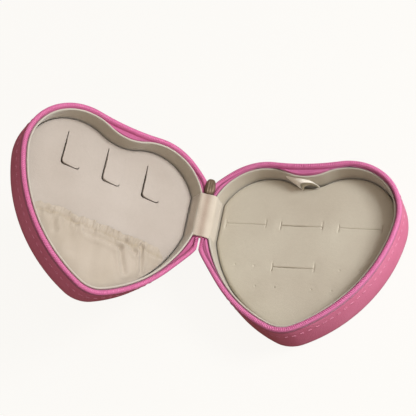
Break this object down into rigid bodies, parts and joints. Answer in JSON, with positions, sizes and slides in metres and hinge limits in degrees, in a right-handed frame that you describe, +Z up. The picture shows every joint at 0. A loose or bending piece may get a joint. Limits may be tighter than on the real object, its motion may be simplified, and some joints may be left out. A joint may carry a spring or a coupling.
{
  "type": "jewelry box",
  "caption": "Heart-shaped zip-around travel jewelry case, open, with a lift-out ring cushion, necklace tabs and a gathered pocket in the lid.",
  "frame": {"origin": "middle of the base's flat underside, on the heart's line of symmetry at half its length", "axes": "+Z up; +Y from the tip to the cleft; the lid hinges along Y on the -X side"},
  "size_m": [0.2107, 0.1084, 0.1163],
  "materials": {
    "cover_leatherette": "pink grained leatherette, soft sheen",
    "greyboard": "pressed paper board, matte",
    "zipper_tape": "woven twill tape, pink",
    "zipper_coil": "moulded pink coil",
    "foam": "soft open-cell foam",
    "liner_velvet": "grey cream short-pile velvet",
    "cream_velvet": "cream short-pile velvet",
    "cream_cloth": "cream satin-weave cloth",
    "elastic": "covered elastic",
    "satin_ribbon": "satin ribbon, glossy",
    "dark_metal": "dark nickel plating, satin"
  },
  "bodies": {
    "base": {"base_bottom_cover": "cover_leatherette", "base_bottom_board": "greyboard", "base_wall_cover": "cover_leatherette", "base_wall_board": "greyboard", "base_wall_liner": "liner_velvet", "base_zipper_tape": "zipper_tape", "base_zipper_coil": "zipper_coil", "base_floor_lining": "liner_velvet", "tray_ledge": "foam", "hinge_spine_cover": "cover_leatherette", "hinge_lining_strip": "cream_cloth"},
    "lid": {"lid_top_cover": "cover_leatherette", "lid_top_foam": "foam", "lid_top_board": "greyboard", "lid_wall_cover": "cover_leatherette", "lid_wall_board": "greyboard", "lid_wall_liner": "liner_velvet", "lid_zipper_tape": "zipper_tape", "lid_zipper_coil": "zipper_coil", "necklace_panel": "cream_velvet", "panel_spacer": "foam", "pocket_cloth": "cream_cloth", "pocket_elastic": "elastic"},
    "ring_tray": {"ring_tray_board": "greyboard", "ring_tray_cushion": "cream_velvet", "ribbon_loop": "satin_ribbon"},
    "necklace_tab_1": {"necklace_tab_1": "cream_velvet"},
    "necklace_tab_2": {"necklace_tab_2": "cream_velvet"},
    "necklace_tab_3": {"necklace_tab_3": "cream_velvet"},
    "zipper_slider": {"zipper_slider": "dark_metal"},
    "zipper_pull": {"zipper_pull_tab": "dark_metal"}
  },
  "joints": [
    {"name": "lid_hinge", "type": "hinge", "parent": "base", "child": "lid", "pos_m": [-0.058, 0.01836, 0.026], "axis": [0, -1, 0], "range_deg": [-130, 50], "deforming": ["hinge_spine_cover", "hinge_lining_strip"]},
    {"name": "tray_lift", "type": "slide", "parent": "base", "child": "ring_tray", "axis": [0, 0, 1], "range_m": [0, 0.03]},
    {"name": "tab_1_bend", "type": "hinge", "parent": "lid", "child": "necklace_tab_1", "pos_m": [-0.12189, 0.04, 0.0827], "axis": [-0.6428, 0, 0.766], "range_deg": [0, 35], "stiffness_Nm_per_rad": 0.01},
    {"name": "tab_2_bend", "type": "hinge", "parent": "lid", "child": "necklace_tab_2", "pos_m": [-0.10486, 0.04, 0.0624], "axis": [-0.6428, 0, 0.766], "range_deg": [0, 35], "stiffness_Nm_per_rad": 0.01},
    {"name": "tab_3_bend", "type": "hinge", "parent": "lid", "child": "necklace_tab_3", "pos_m": [-0.08782, 0.04, 0.0421], "axis": [-0.6428, 0, 0.766], "range_deg": [0, 35], "stiffness_Nm_per_rad": 0.01},
    {"name": "slider_turn", "type": "hinge", "parent": "base", "child": "zipper_slider", "pos_m": [-0.058, 0.03699, 0.026], "axis": [0, -1, 0], "range_deg": [-65, 25]},
    {"name": "pull_swing", "type": "hinge", "parent": "zipper_slider", "child": "zipper_pull", "pos_m": [-0.05931, 0.03699, 0.02319], "axis": [0.9063, 0, -0.4226], "range_deg": [-40, 75]}
  ],
  "couplings": [
    {"joint": "slider_turn", "follows": "lid_hinge", "ratio": 0.5}
  ]
}
